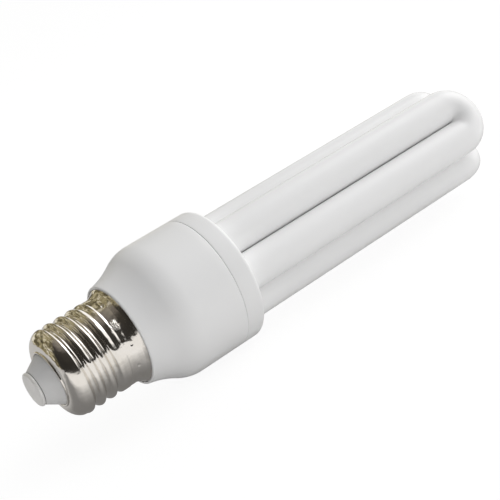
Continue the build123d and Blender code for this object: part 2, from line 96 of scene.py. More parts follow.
along = Vector((1, 0, 0))
toward = Vector((0, cos(SIDE_ROUND_AXIS), sin(SIDE_ROUND_AXIS)))
across = Vector((0, -sin(SIDE_ROUND_AXIS), cos(SIDE_ROUND_AXIS)))
axis_on_screen = along * cos(LEAN_AWAY) + toward * sin(LEAN_AWAY)
right = axis_on_screen * cos(SLOPE) + across * sin(SLOPE)
down = axis_on_screen * -sin(SLOPE) + across * cos(SLOPE)
forward = along * sin(LEAN_AWAY) - toward * cos(LEAN_AWAY)
offset_right = (SEAM_PIXEL[0] - PICTURE_SIZE / 2) / PIXELS_PER_METRE
offset_down = (SEAM_PIXEL[1] - PICTURE_SIZE / 2) / PIXELS_PER_METRE
camera_place = seam_point - right * offset_right - down * offset_down - forward * DISTANCE

SENSOR_WIDTH = 36.0
camera_data = bpy.data.cameras.new("camera")
camera = bpy.data.objects.new("camera", camera_data)
bpy.context.scene.collection.objects.link(camera)
bpy.context.scene.camera = camera
turn = Matrix((right, -down, -forward)).transposed().to_4x4()
camera.matrix_world = Matrix.Translation(camera_place) @ turn
camera_data.sensor_width = SENSOR_WIDTH
camera_data.lens = SENSOR_WIDTH * DISTANCE * PIXELS_PER_METRE / PICTURE_SIZE
camera_data.clip_start = 0.01
print("camera at", [round(v, 4) for v in camera_place], "lens", round(camera_data.lens, 1))

# %% [markdown]
# ## The floor
# The photograph is cut out on white. A floor can be lit until it is white, but that bleaches the lamp
# too. Here Light Path gives the camera a floor that glows at the strength of white, and a small share
# of its matte surface keeps the shadow. Bright metal sees a warm floor of its own, with a painted
# shadow close under the lamp and painted shade on its far side.

# %% Lay the floor
FLOOR_SIZE = 8
bpy.ops.mesh.primitive_plane_add(size=FLOOR_SIZE, location=(0, 0, 0))
floor = bpy.context.object
floor.name = "floor"


def set_range(node, *values):
    """Set where a Map Range node's value comes from, and where it goes."""
    for socket, value in zip(("From Min", "From Max", "To Min", "To Max"), values):
        node.inputs[socket].default_value = value


# %% Make the floor's material
FLOOR_COLOUR = (0.93, 0.925, 0.92, 1)
FLOOR_GLOW = (1.0, 0.975, 0.945, 1)
CAMERA_SHARE = 0.88
GLOSSY_SHARE = 0.85
WHITE_STRENGTH = 1.05
# Painted shadow: glossy rays see the floor's glow fall off near the lamp's axis.
PAINTED_SHADOW_INNER, PAINTED_SHADOW_OUTER = 0.007, 0.048
PAINTED_SHADOW_LEVEL, PAINTED_SHADOW_OPEN = 0.19, 1.0
# Painted shade: glossy rays see the floor's glow drop on its far side.
PAINTED_FAR_SHADE_START, PAINTED_FAR_SHADE_END = 0.010, 0.050
PAINTED_FAR_SHADE_LEVEL = 0.55
floor_look = bpy.data.materials.new("floor_white")
floor_look.use_nodes = True
tree = floor_look.node_tree
tree.nodes.clear()
matte = tree.nodes.new("ShaderNodeBsdfDiffuse")
matte.inputs["Color"].default_value = FLOOR_COLOUR
white_glow = tree.nodes.new("ShaderNodeEmission")
white_glow.inputs["Strength"].default_value = WHITE_STRENGTH
warm_glow = tree.nodes.new("ShaderNodeEmission")
warm_glow.inputs["Color"].default_value = FLOOR_GLOW
floor_place = tree.nodes.new("ShaderNodeTexCoord")
floor_split = tree.nodes.new("ShaderNodeSeparateXYZ")
floor_side = tree.nodes.new("ShaderNodeMath")
floor_side.operation = "ABSOLUTE"
# Painted shadow pool: the glossy floor's glow is darker close to the lamp's axis.
painted_shadow_pool = tree.nodes.new("ShaderNodeMapRange")
painted_shadow_pool.interpolation_type = "SMOOTHSTEP"
set_range(painted_shadow_pool, PAINTED_SHADOW_INNER, PAINTED_SHADOW_OUTER, PAINTED_SHADOW_LEVEL, PAINTED_SHADOW_OPEN)
tree.links.new(floor_place.outputs["Object"], floor_split.inputs[0])
tree.links.new(floor_split.outputs["Y"], floor_side.inputs[0])
tree.links.new(floor_side.outputs[0], painted_shadow_pool.inputs["Value"])
# Painted shade on the glossy floor's far side, by its Y coordinate.
painted_far_shade = tree.nodes.new("ShaderNodeMapRange")
set_range(painted_far_shade, PAINTED_FAR_SHADE_START, PAINTED_FAR_SHADE_END, 1.0, PAINTED_FAR_SHADE_LEVEL)
# The glossy floor's glow strength is the painted shadow times the painted far shade.
painted_floor_shade = tree.nodes.new("ShaderNodeMath")
painted_floor_shade.operation = "MULTIPLY"
tree.links.new(floor_split.outputs["Y"], painted_far_shade.inputs["Value"])
tree.links.new(painted_shadow_pool.outputs["Result"], painted_floor_shade.inputs[0])
tree.links.new(painted_far_shade.outputs["Result"], painted_floor_shade.inputs[1])
tree.links.new(painted_floor_shade.outputs[0], warm_glow.inputs["Strength"])
light_path = tree.nodes.new("ShaderNodeLightPath")
camera_mix = tree.nodes.new("ShaderNodeMixShader")
glossy_mix = tree.nodes.new("ShaderNodeMixShader")
output = tree.nodes.new("ShaderNodeOutputMaterial")
ray_shares = (("Is Camera Ray", CAMERA_SHARE, camera_mix), ("Is Glossy Ray", GLOSSY_SHARE, glossy_mix))
for ray, share, mix in ray_shares:
    weight = tree.nodes.new("ShaderNodeMath")
    weight.operation = "MULTIPLY"
    weight.inputs[1].default_value = share
    tree.links.new(light_path.outputs[ray], weight.inputs[0])
    tree.links.new(weight.outputs[0], mix.inputs["Fac"])
tree.links.new(matte.outputs[0], glossy_mix.inputs[1])
tree.links.new(warm_glow.outputs[0], glossy_mix.inputs[2])
tree.links.new(glossy_mix.outputs[0], camera_mix.inputs[1])
tree.links.new(white_glow.outputs[0], camera_mix.inputs[2])
tree.links.new(camera_mix.outputs[0], output.inputs["Surface"])
floor.data.materials.append(floor_look)
print("floor nodes", len(tree.nodes))

# %% [markdown]
# ## The soft light
# The lamp looks as if it was photographed in a white tent. A few large lamps would do for that, but the
# world itself is softer. For diffuse light it is one pale level with a dark opening on the cap's upper
# side, which shades the shoulder and the insulator. A tilt upwards and towards the cap is added last,
# so the opening's own level lies below zero.

# %% Light the world for soft light
TENT_LEVEL = 1.3
OPENING_LEVEL = -0.15
OPENING_SIDE = Vector((-0.77, -0.06, 0.63)).normalized()
OPENING_EDGE, OPENING_MIDDLE = 0.34, 0.68
TENT_TILT = (-0.19, 0.0, 0.24)
world = bpy.data.worlds.new("studio")
bpy.context.scene.world = world
world.use_nodes = True
tree = world.node_tree
tree.nodes.clear()
links = tree.links
direction = tree.nodes.new("ShaderNodeTexCoord").outputs["Generated"]
opening = tree.nodes.new("ShaderNodeVectorMath")
opening.operation = "DOT_PRODUCT"
opening.inputs[1].default_value = OPENING_SIDE
level = tree.nodes.new("ShaderNodeMapRange")
level.interpolation_type = "SMOOTHSTEP"
set_range(level, OPENING_EDGE, OPENING_MIDDLE, TENT_LEVEL, OPENING_LEVEL)
tilt = tree.nodes.new("ShaderNodeVectorMath")
tilt.operation = "DOT_PRODUCT"
tilt.inputs[1].default_value = TENT_TILT
tilted = tree.nodes.new("ShaderNodeMath")
tent = tree.nodes.new("ShaderNodeBackground")
links.new(direction, opening.inputs[0])
links.new(direction, tilt.inputs[0])
links.new(opening.outputs["Value"], level.inputs["Value"])
links.new(level.outputs["Result"], tilted.inputs[0])
links.new(tilt.outputs["Value"], tilted.inputs[1])
links.new(tilted.outputs[0], tent.inputs["Strength"])
print("tent level", TENT_LEVEL, "tilt", TENT_TILT)

# %% [markdown]
# ## What the metal shows
# Bright metal shows the room around it. The photograph's nickel has a black band, golden patches on the
# far side and pale streaks on the thread's flanks. A picture of a room could be mapped on the world,
# but a few tones do the same: glossy rays see a dark near side, a far side in patches, and a bright
# window towards the tubes, which only the flanks catch.

# %% Choose the room's tones
NEAR_TONES = {
    0.00: (0.035, 0.032, 0.028),
    0.40: (0.030, 0.027, 0.023),
    0.80: (0.050, 0.044, 0.036),
    0.92: (0.17, 0.15, 0.13),
    1.00: (0.30, 0.27, 0.22),
}
FAR_TONES = {
    0.00: (0.03, 0.025, 0.015),
    0.41: (0.09, 0.075, 0.045),
    0.49: (0.28, 0.24, 0.14),
    0.56: (0.46, 0.40, 0.22),
    0.65: (1.00, 0.96, 0.86),
}
FAR_PATCHES = 6.5
PATCH_DETAIL = 5.0
FAR_SIDE = (0.0, 0.35)
WINDOW_SIDE = (0.43, 0.50)
WINDOW_SILL = (0.05, 0.25)
WINDOW_TONE = (1.15, 1.13, 1.10, 1)


def tone_ramp(tones):
    """A colour ramp node with a stop for every place in tones."""
    ramp = tree.nodes.new("ShaderNodeValToRGB")
    stops = ramp.color_ramp.elements
    places = sorted(tones)
    stops[0].position, stops[1].position = places[0], places[-1]
    stops[0].color, stops[1].color = (*tones[places[0]], 1), (*tones[places[-1]], 1)
    for place in places[1:-1]:
        stops.new(place).color = (*tones[place], 1)
    return ramp


def smooth_step(source, low, high):
    """A value that goes from 0 to 1 while its source goes from low to high."""
    step = tree.nodes.new("ShaderNodeMapRange")
    step.interpolation_type = "SMOOTHSTEP"
    set_range(step, low, high)
    links.new(source, step.inputs["Value"])
    return step.outputs["Result"]


def blend_tones(factor, first, second):
    """Two colours mixed by a factor; the second may be a fixed colour."""
    blend = tree.nodes.new("ShaderNodeMix")
    blend.data_type = "RGBA"
    links.new(factor, blend.inputs["Factor"])
    links.new(first, blend.inputs["A"])
    if isinstance(second, tuple):
        blend.inputs["B"].default_value = second
    else:
        links.new(second, blend.inputs["B"])
    return blend.outputs["Result"]


# %% Paint the room
split = tree.nodes.new("ShaderNodeSeparateXYZ")
patches = tree.nodes.new("ShaderNodeTexNoise")
patches.inputs["Scale"].default_value = FAR_PATCHES
patches.inputs["Detail"].default_value = PATCH_DETAIL
near_side = tone_ramp(NEAR_TONES)
far_side = tone_ramp(FAR_TONES)
links.new(direction, split.inputs[0])
links.new(direction, patches.inputs["Vector"])
links.new(split.outputs["Z"], near_side.inputs["Fac"])
links.new(patches.outputs["Fac"], far_side.inputs["Fac"])
side = smooth_step(split.outputs["Y"], *FAR_SIDE)
walls = blend_tones(side, near_side.outputs["Color"], far_side.outputs["Color"])
window = tree.nodes.new("ShaderNodeMath")
window.operation = "MULTIPLY"
links.new(smooth_step(split.outputs["X"], *WINDOW_SIDE), window.inputs[0])
links.new(smooth_step(split.outputs["Z"], *WINDOW_SILL), window.inputs[1])
room_colour = blend_tones(window.outputs[0], walls, WINDOW_TONE)
room = tree.nodes.new("ShaderNodeBackground")
links.new(room_colour, room.inputs["Color"])
print("window from", WINDOW_SIDE[0], "patches", FAR_PATCHES)

# %% [markdown]
# Light Path tells the world what kind of ray asks. The camera sees white, glossy rays see the room,
# and all others see the tent.

# %% Choose the world by the kind of ray
white = tree.nodes.new("ShaderNodeBackground")
white.inputs["Color"].default_value = (1, 1, 1, 1)
metal_mix = tree.nodes.new("ShaderNodeMixShader")
camera_mix = tree.nodes.new("ShaderNodeMixShader")
light_path = tree.nodes.new("ShaderNodeLightPath")
output = tree.nodes.new("ShaderNodeOutputWorld")
links.new(light_path.outputs["Is Glossy Ray"], metal_mix.inputs["Fac"])
links.new(tent.outputs[0], metal_mix.inputs[1])
links.new(room.outputs[0], metal_mix.inputs[2])
links.new(light_path.outputs["Is Camera Ray"], camera_mix.inputs["Fac"])
links.new(metal_mix.outputs[0], camera_mix.inputs[1])
links.new(white.outputs[0], camera_mix.inputs[2])
links.new(camera_mix.outputs[0], output.inputs["Surface"])
print("world nodes", len(tree.nodes))

# %% [markdown]
# ## The lamps
# One large lamp on the tubes' side gives the tubes their form. A weak one, low in front of the cap,
# fills the insulator and the contact. Glossy rays don't see that one, because the photograph's nickel
# shows no such lamp.

# %% Hang the lamps
LAMPS = {
    "tube_side": ((0.80, -0.10, 0.75), (0.7, 0.7), 3.4, True),
    "cap_fill": ((-0.55, -0.10, 0.02), (0.3, 0.04), 0.32, False),
}
for name, (place, size, power, shows_in_gloss) in LAMPS.items():
    lamp_data = bpy.data.lights.new(name, "AREA")
    lamp_data.shape = "RECTANGLE"
    lamp_data.size, lamp_data.size_y = size
    lamp_data.energy = power
    lamp = bpy.data.objects.new(name, lamp_data)
    bpy.context.scene.collection.objects.link(lamp)
    lamp.location = place
    lamp.rotation_euler = (seam_point - Vector(place)).to_track_quat("-Z", "Y").to_euler()
    lamp.visible_glossy = shows_in_gloss
print("lamps", list(LAMPS))

# %% [markdown]
# ## Shared effects
# Two effects come up on most surfaces: a slow change of tone, and a fine relief. Each is a shader
# node group with its own values in every material, and puts out only colours, masks and normals.


# %% Build the shared effects
def group_sockets(group, inputs, outputs):
    for name, kind, value in inputs:
        socket = group.interface.new_socket(name, in_out="INPUT", socket_type=kind)
        socket.default_value = value
    for name, kind in outputs:
        group.interface.new_socket(name, in_out="OUTPUT", socket_type=kind)
    return group.nodes.new("NodeGroupInput"), group.nodes.new("NodeGroupOutput")


def make_tone_group():
    group = bpy.data.node_groups.new("tone_change", "ShaderNodeTree")
    start, end = group_sockets(
        group,
        [
            ("Tone A", "NodeSocketColor", (0.8, 0.8, 0.8, 1)),
            ("Tone B", "NodeSocketColor", (0.7, 0.7, 0.7, 1)),
            ("Scale", "NodeSocketFloat", 40.0),
            ("Contrast", "NodeSocketFloat", 2.0),
        ],
        [("Color", "NodeSocketColor"), ("Mask", "NodeSocketFloat")],
    )
    place = group.nodes.new("ShaderNodeTexCoord")
    noise = group.nodes.new("ShaderNodeTexNoise")
    noise.inputs["Detail"].default_value = 4.0
    centre = group.nodes.new("ShaderNodeMath")
    centre.operation = "SUBTRACT"
    centre.inputs[1].default_value = 0.5
    lift = group.nodes.new("ShaderNodeMath")
    lift.operation = "MULTIPLY_ADD"
    lift.inputs[2].default_value = 0.5
    lift.use_clamp = True
    blend = group.nodes.new("ShaderNodeMix")
    blend.data_type = "RGBA"
    links = group.links
    links.new(place.outputs["Object"], noise.inputs["Vector"])
    links.new(start.outputs["Scale"], noise.inputs["Scale"])
    links.new(noise.outputs["Fac"], centre.inputs[0])
    links.new(centre.outputs[0], lift.inputs[0])
    links.new(start.outputs["Contrast"], lift.inputs[1])
    links.new(lift.outputs[0], blend.inputs["Factor"])
    links.new(start.outputs["Tone A"], blend.inputs["A"])
    links.new(start.outputs["Tone B"], blend.inputs["B"])
    links.new(blend.outputs["Result"], end.inputs["Color"])
    links.new(lift.outputs[0], end.inputs["Mask"])
    return group


def make_relief_group():
    group = bpy.data.node_groups.new("fine_relief", "ShaderNodeTree")
    start, end = group_sockets(
        group,
        [("Scale", "NodeSocketFloat", 500.0), ("Depth", "NodeSocketFloat", 0.00005)],
        [("Normal", "NodeSocketVector")],
    )
    place = group.nodes.new("ShaderNodeTexCoord")
    grain = group.nodes.new("ShaderNodeTexNoise")
    grain.inputs["Detail"].default_value = 2.0
    bump = group.nodes.new("ShaderNodeBump")
    links = group.links
    links.new(place.outputs["Object"], grain.inputs["Vector"])
    links.new(start.outputs["Scale"], grain.inputs["Scale"])
    links.new(start.outputs["Depth"], bump.inputs["Distance"])
    links.new(grain.outputs["Fac"], bump.inputs["Height"])
    links.new(bump.outputs["Normal"], end.inputs["Normal"])
    return group


tone_group = make_tone_group()
relief_group = make_relief_group()


def surface(name, tone_a, tone_b, roughness, scale, metallic=0.0, relief=0.0, relief_scale=900.0, **fixed):
    """A Principled material whose tone and roughness follow one noise, with a fine relief."""
    look = bpy.data.materials.new(name)
    look.use_nodes = True
    tree = look.node_tree
    shader = tree.nodes["Principled BSDF"]
    shader.inputs["Metallic"].default_value = metallic
    for socket, value in fixed.items():
        shader.inputs[socket.replace("_", " ")].default_value = value
    tone = tree.nodes.new("ShaderNodeGroup")
    tone.node_tree = tone_group
    tone.inputs["Tone A"].default_value = (*tone_a, 1)
    tone.inputs["Tone B"].default_value = (*tone_b, 1)
    tone.inputs["Scale"].default_value = scale
    tree.links.new(tone.outputs["Color"], shader.inputs["Base Color"])
    polish = tree.nodes.new("ShaderNodeMapRange")
    set_range(polish, 0.0, 1.0, *roughness)
    tree.links.new(tone.outputs["Mask"], polish.inputs["Value"])
    tree.links.new(polish.outputs["Result"], shader.inputs["Roughness"])
    if relief:
        grain = tree.nodes.new("ShaderNodeGroup")
        grain.node_tree = relief_group
        grain.inputs["Scale"].default_value = relief_scale
        grain.inputs["Depth"].default_value = relief
        tree.links.new(grain.outputs["Normal"], shader.inputs["Normal"])
    return look


# %% [markdown]
# ## The finishes
# Each finish is two tones, a range of roughness and the scale of the pattern between them. Large smooth
# pieces could have a fine pattern too, but it looks like stains on white plastic and glass, so theirs
# is wide and faint. Nickel gets a relief as well, because rolled sheet is never quite even.

# %% Mix the finishes
LOOKS = {
    "nickel": surface(
        "nickel", (0.86, 0.84, 0.815), (0.78, 0.75, 0.70), (0.08, 0.17), 150.0, 1.0, 0.00014, 330.0
    ),
    "insulator_grey": surface(
        "insulator_grey", (0.69, 0.687, 0.682), (0.73, 0.725, 0.72), (0.38, 0.5), 200.0
    ),
    "contact_metal": surface(
        "contact_metal", (0.93, 0.92, 0.905), (0.88, 0.87, 0.855), (0.40, 0.50), 300.0, 0.25
    ),
    "white_plastic": surface(
        "white_plastic", (0.92, 0.921, 0.921), (0.895, 0.896, 0.896), (0.30, 0.38), 7.0, 0.0, 0.00001, 700.0
    ),
    "coated_glass": surface(
        "coated_glass", (0.96, 0.96, 0.96), (0.95, 0.95, 0.952), (0.22, 0.30), 5.0, Specular_IOR_Level=0.35
    ),
    "cement": surface("cement", (0.74, 0.72, 0.68), (0.62, 0.60, 0.56), (0.8, 0.95), 300.0, 0.0, 0.0001),
    "board_resin": surface("board_resin", (0.50, 0.34, 0.15), (0.42, 0.27, 0.11), (0.5, 0.65), 200.0),
    "can_sleeve": surface("can_sleeve", (0.02, 0.025, 0.05), (0.03, 0.035, 0.07), (0.25, 0.4), 200.0),
    "ferrite": surface(
        "ferrite", (0.05, 0.05, 0.055), (0.08, 0.08, 0.085), (0.6, 0.8), 400.0, 0.0, 0.00003
    ),
    "bobbin_plastic": surface("bobbin_plastic", (0.03, 0.03, 0.03), (0.05, 0.05, 0.05), (0.45, 0.6), 300.0),
    "copper_wire": surface("copper_wire", (0.60, 0.22, 0.09), (0.45, 0.15, 0.06), (0.25, 0.4), 600.0, 1.0),
    "wire_sleeve": surface("wire_sleeve", (0.45, 0.03, 0.02), (0.36, 0.02, 0.02), (0.3, 0.45), 300.0),
    "case_black": surface("case_black", (0.02, 0.02, 0.02), (0.035, 0.035, 0.035), (0.5, 0.65), 400.0),
    "film_red": surface("film_red", (0.36, 0.03, 0.015), (0.28, 0.02, 0.01), (0.2, 0.3), 200.0),
    "resistor_green": surface("resistor_green", (0.12, 0.22, 0.14), (0.09, 0.17, 0.10), (0.5, 0.65), 300.0),
    "tinned_wire": surface("tinned_wire", (0.72, 0.72, 0.73), (0.58, 0.58, 0.59), (0.25, 0.4), 500.0, 1.0),
}

# %% [markdown]
# The side wire is welded to the shell's collar, which leaves a small rough patch in the smooth
# nickel. A second bump is laid over the first, and fades out with the distance from the weld.

# %% Roughen the weld
WELD_ANGLE = radians(146)
WELD_BACK = 0.0040
WELD_SHARE = 0.91
WELD_REACH = (0.0005, 0.0019)
WELD_GRAIN = 2400.0
WELD_DEPTH = 0.00035
weld_radius = flare_radius * WELD_SHARE
weld_height = axis_height + weld_radius * sin(WELD_ANGLE)
weld_place = (shell_end - WELD_BACK, weld_radius * cos(WELD_ANGLE), weld_height)
tree = LOOKS["nickel"].node_tree
shader = tree.nodes["Principled BSDF"]
smooth_normal = shader.inputs["Normal"].links[0].from_socket
place = tree.nodes.new("ShaderNodeTexCoord")
distance = tree.nodes.new("ShaderNodeVectorMath")
distance.operation = "DISTANCE"
distance.inputs[1].default_value = weld_place
fade = tree.nodes.new("ShaderNodeMapRange")
set_range(fade, WELD_REACH[1], WELD_REACH[0])
grain = tree.nodes.new("ShaderNodeTexNoise")
grain.inputs["Scale"].default_value = WELD_GRAIN
height = tree.nodes.new("ShaderNodeMath")
height.operation = "MULTIPLY"
weld = tree.nodes.new("ShaderNodeBump")
weld.inputs["Distance"].default_value = WELD_DEPTH
tree.links.new(place.outputs["Object"], distance.inputs[0])
tree.links.new(place.outputs["Object"], grain.inputs["Vector"])
tree.links.new(distance.outputs["Value"], fade.inputs["Value"])
tree.links.new(grain.outputs["Fac"], height.inputs[0])
tree.links.new(fade.outputs["Result"], height.inputs[1])
tree.links.new(height.outputs[0], weld.inputs["Height"])
tree.links.new(smooth_normal, weld.inputs["Normal"])
tree.links.new(weld.outputs["Normal"], shader.inputs["Normal"])
print("weld at", [round(v, 4) for v in weld_place])

# %% [markdown]
# The ballast is hidden in the housing, but each of its solids still gets its own finish, by the
# material slot that the record names for it.

# %% Give every solid its finish
for name, node in nodes.items():
    node.data.materials.clear()
    node.data.materials.append(LOOKS[slot_of[name]])
print("finishes", len(LOOKS))

# %% [markdown]
# ## Turning a piece
# Most of the lamp is turned. Its outline could be revolved with the Screw modifier, but here it is
# drawn as a chain of points and spun once round the lamp's axis in edit mode, as on a lathe. The
# chain's ends are merged, so the skin is closed, and the faces are turned outwards.

# %% The lathe
MERGE_DISTANCE = 0.000003


def arc(centre, radius, start, end, steps):
    """Points of an arc in an outline, from one angle to another in degrees."""
    angles = [radians(start + (end - start) * step / steps) for step in range(steps + 1)]
    return [(centre[0] + radius * cos(angle), centre[1] + radius * sin(angle)) for angle in angles]


def select_only(piece):
    bpy.ops.object.select_all(action="DESELECT")
    piece.select_set(True)
    bpy.context.view_layer.objects.active = piece


def lathe(name, outline, steps, closed):
    """Spin an outline of stations and radii into a closed skin; an open one ends on the axis."""
    bpy.ops.mesh.primitive_circle_add(vertices=len(outline), radius=1, location=(0, 0, 0))
    piece = bpy.context.object
    piece.name = name
    for vertex, (x, radius) in zip(piece.data.vertices, outline):
        vertex.co = (x, 0, axis_height + radius)
        vertex.select = vertex.index in (0, len(outline) - 1)
    if not closed:
        for edge in piece.data.edges:
            edge.select = set(edge.vertices) == {0, len(outline) - 1}
        bpy.ops.object.mode_set(mode="EDIT")
        bpy.ops.mesh.select_mode(type="EDGE")
        bpy.ops.mesh.delete(type="EDGE")
        bpy.ops.mesh.select_mode(type="VERT")
        bpy.ops.object.mode_set(mode="OBJECT")
    bpy.ops.object.mode_set(mode="EDIT")
    bpy.ops.mesh.select_all(action="SELECT")
    bpy.ops.mesh.spin(steps=steps, angle=2 * pi, center=(0, 0, axis_height), axis=(1, 0, 0))
    bpy.ops.mesh.select_all(action="SELECT")
    bpy.ops.mesh.remove_doubles(threshold=MERGE_DISTANCE)
    bpy.ops.mesh.normals_make_consistent(inside=False)
    bpy.ops.object.mode_set(mode="OBJECT")
    return piece


def finish_piece(piece, node_name, smooth_angle):
    """Shade a piece, give it its node's finish, and let it stand for the node."""
    select_only(piece)
    bpy.ops.object.shade_smooth_by_angle(angle=radians(smooth_angle))
    piece.data.materials.clear()
    piece.data.materials.append(LOOKS[slot_of[node_name]])
    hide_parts(node_name)
    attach(piece, "root")
    print(piece.name, len(piece.data.polygons), "faces")


# %% [markdown]
# ## The screw shell
# The shell is thin sheet metal with the thread rolled into it. The section of a rolled thread is two
# arcs of one radius that meet halfway down the flank. The turned blank gets closely spaced rings
# along the thread, and each point is then moved in by the depth of the groove at its own angle,
# which runs the groove round as a true helix and lets it fade out at both ends.

# %% Turn the shell's blank
SHELL_WALL = 0.00035
THREAD_RADIUS = 0.0131
THREAD_DEPTH = 0.0011
THREAD_PITCH = 0.003629
NOSE_ROUND = 0.0045
NOSE_X = contact_face_x + 0.0058
OPENING_RADIUS = 0.0077
COLLAR_RADIUS = 0.01295
COLLAR_X = shell_end - 0.0054
COLLAR_START = COLLAR_X + 0.00025
COLLAR_RING = 0.0003
FLARE_X = shell_end - 0.0033
RING_STEP = 0.00013
SHELL_STEPS = 256

nose_centre = (NOSE_X + NOSE_ROUND, THREAD_RADIUS - NOSE_ROUND)
flare_rise = flare_radius - COLLAR_RADIUS
flare_run = shell_end - FLARE_X
flare_round = (flare_run**2 + flare_rise**2) / (2 * flare_rise)
flare_angle = degrees(atan2(flare_run, flare_round - flare_rise))
flare_centre = (FLARE_X, COLLAR_RADIUS + flare_round)
ring_count = int((COLLAR_X - nose_centre[0]) / RING_STEP)
rings = [
    (nose_centre[0] + (COLLAR_X - nose_centre[0]) * number / ring_count, THREAD_RADIUS)
    for number in range(1, ring_count)
]
lip_centre = (NOSE_X, OPENING_RADIUS + SHELL_WALL)
back_radius = THREAD_RADIUS - THREAD_DEPTH - SHELL_WALL
shell_outline = [
    (NOSE_X + SHELL_WALL, OPENING_RADIUS),
    *arc(lip_centre, SHELL_WALL, 250, 90, 8),
    *arc(nose_centre, NOSE_ROUND, 180, 90, 20),
    *rings,
    (COLLAR_X, THREAD_RADIUS),
    (COLLAR_START, COLLAR_RADIUS),
    *[(COLLAR_START + COLLAR_RING * step, COLLAR_RADIUS) for step in range(1, 7)],
    *arc(flare_centre, flare_round, -90, flare_angle - 90, 12),
    (shell_end, flare_radius - SHELL_WALL),
    (FLARE_X, COLLAR_RADIUS - SHELL_WALL),
    (COLLAR_X, back_radius),
    (nose_centre[0], back_radius),
    (NOSE_X + 2 * SHELL_WALL, nose_centre[1]),
]
screw_shell = lathe("cap_shell", shell_outline, SHELL_STEPS, closed=True)
print("shell blank", len(screw_shell.data.vertices), "points")

# %% [markdown]
# A swept profile and a Boolean could cut the groove, but they leave long thin faces where it fades out.
# Moving the blank's own points keeps the mesh even.

# %% Roll the thread
GROOVE_START = NOSE_X + 0.00126
GROOVE_FIRST = NOSE_X + 0.0024
GROOVE_LAST = COLLAR_X - 0.0005
groove_round = (THREAD_PITCH**2 / 4 + THREAD_DEPTH**2) / (4 * THREAD_DEPTH)


def groove_depth(x, angle):
    """Depth of the rolled groove at a station and an angle round the axis."""
    turns = (x - GROOVE_START) / THREAD_PITCH - (angle - pi / 2) / (2 * pi)
    off_centre = abs(turns - round(turns)) * THREAD_PITCH
    if off_centre < THREAD_PITCH / 4:
        depth = THREAD_DEPTH - groove_round + sqrt(groove_round**2 - off_centre**2)
    else:
        depth = groove_round - sqrt(groove_round**2 - (THREAD_PITCH / 2 - off_centre) ** 2)
    run_in = min(1, max(0, (x - GROOVE_FIRST) / THREAD_PITCH))
    run_out = min(1, max(0, (GROOVE_LAST - x) / THREAD_PITCH))
    fade = run_in * run_in * (3 - 2 * run_in) * run_out * run_out * (3 - 2 * run_out)
    return depth * fade


# %% [markdown]
# A row of small round marks stakes the flare to the housing, and a faint ripple breaks up the
# reflections. Both are depths at a point's station and angle, as the groove is, so one pass over the
# outer points presses in all three. They are real geometry in the shell's mesh.

# %% Press the stake marks and the ripple
STAKE_COUNT = 12
STAKE_X = FLARE_X + 0.0005
STAKE_TURN = radians(25)
STAKE_SIZE = 0.00055
STAKE_DEPTH = 0.0003
RIPPLE = 0.00003
RIPPLE_TURNS = (9, 5)
RIPPLE_RUNS = (700, 1900)


def stake_depth(x, angle):
    """Depth of the nearest stake mark."""
    pitch = 2 * pi / STAKE_COUNT
    turn = (angle - STAKE_TURN) / pitch
    around = (turn - round(turn)) * pitch * COLLAR_RADIUS
    distance = sqrt(around**2 + (x - STAKE_X) ** 2) / STAKE_SIZE
    return STAKE_DEPTH * max(0, 1 - distance**2) ** 2


def ripple_height(x, angle):
    """Two crossing waves round and along the shell."""
    first = sin(RIPPLE_TURNS[0] * angle + RIPPLE_RUNS[0] * x)
    second = sin(RIPPLE_TURNS[1] * angle - RIPPLE_RUNS[1] * x)
    return RIPPLE * first * second


for vertex in screw_shell.data.vertices:
    x, width, height = vertex.co.x, vertex.co.y, vertex.co.z - axis_height
    radius = sqrt(height**2 + width**2)
    if radius < back_radius + SHELL_WALL:
        continue
    angle = atan2(height, width)
    moved = radius - groove_depth(x, angle) - stake_depth(x, angle) - RIPPLE + ripple_height(x, angle)
    vertex.co.y = width * moved / radius
    vertex.co.z = axis_height + height * moved / radius
finish_piece(screw_shell, "screw_shell", 50)

# %% [markdown]
# ## The insulator and the contact
# The insulator is a moulded cone, and the contact is a pressed disc riveted over its tip. The disc's
# edge stands a little off the cone, which leaves the thin dark line round its far side. Both outlines
# start and end on the axis, so the spin closes them without a cap.

# %% Turn the insulator
_, insulator_end, _ = span("insulator")
INSULATOR_EASE = 0.0009
CONE_RINGS = 6
CONE_BREAK = 0.0003
CONE_SET_BACK = 0.0001
DISC_HEIGHT = 0.0007
DISC_GAP = 0.0004
cone_foot = (NOSE_X - CONE_BREAK, OPENING_RADIUS - CONE_BREAK / 2)
cone_top = (contact_face_x + DISC_HEIGHT + DISC_GAP, contact_radius - CONE_SET_BACK)
cone_run, cone_rise = cone_top[0] - cone_foot[0], cone_top[1] - cone_foot[1]
insulator_outline = [
    (insulator_end, 0),
    (insulator_end, THREAD_RADIUS - 2 * SHELL_WALL - INSULATOR_EASE),
    (NOSE_X + SHELL_WALL, nose_centre[1]),
    (NOSE_X + SHELL_WALL, OPENING_RADIUS),
    (NOSE_X, OPENING_RADIUS),
    *[
        (cone_foot[0] + cone_run * step / CONE_RINGS, cone_foot[1] + cone_rise * step / CONE_RINGS)
        for step in range(CONE_RINGS + 1)
    ],
    (cone_top[0], 0),
]
insulator = lathe("cap_insulator", insulator_outline, 128, closed=False)
finish_piece(insulator, "insulator", 35)

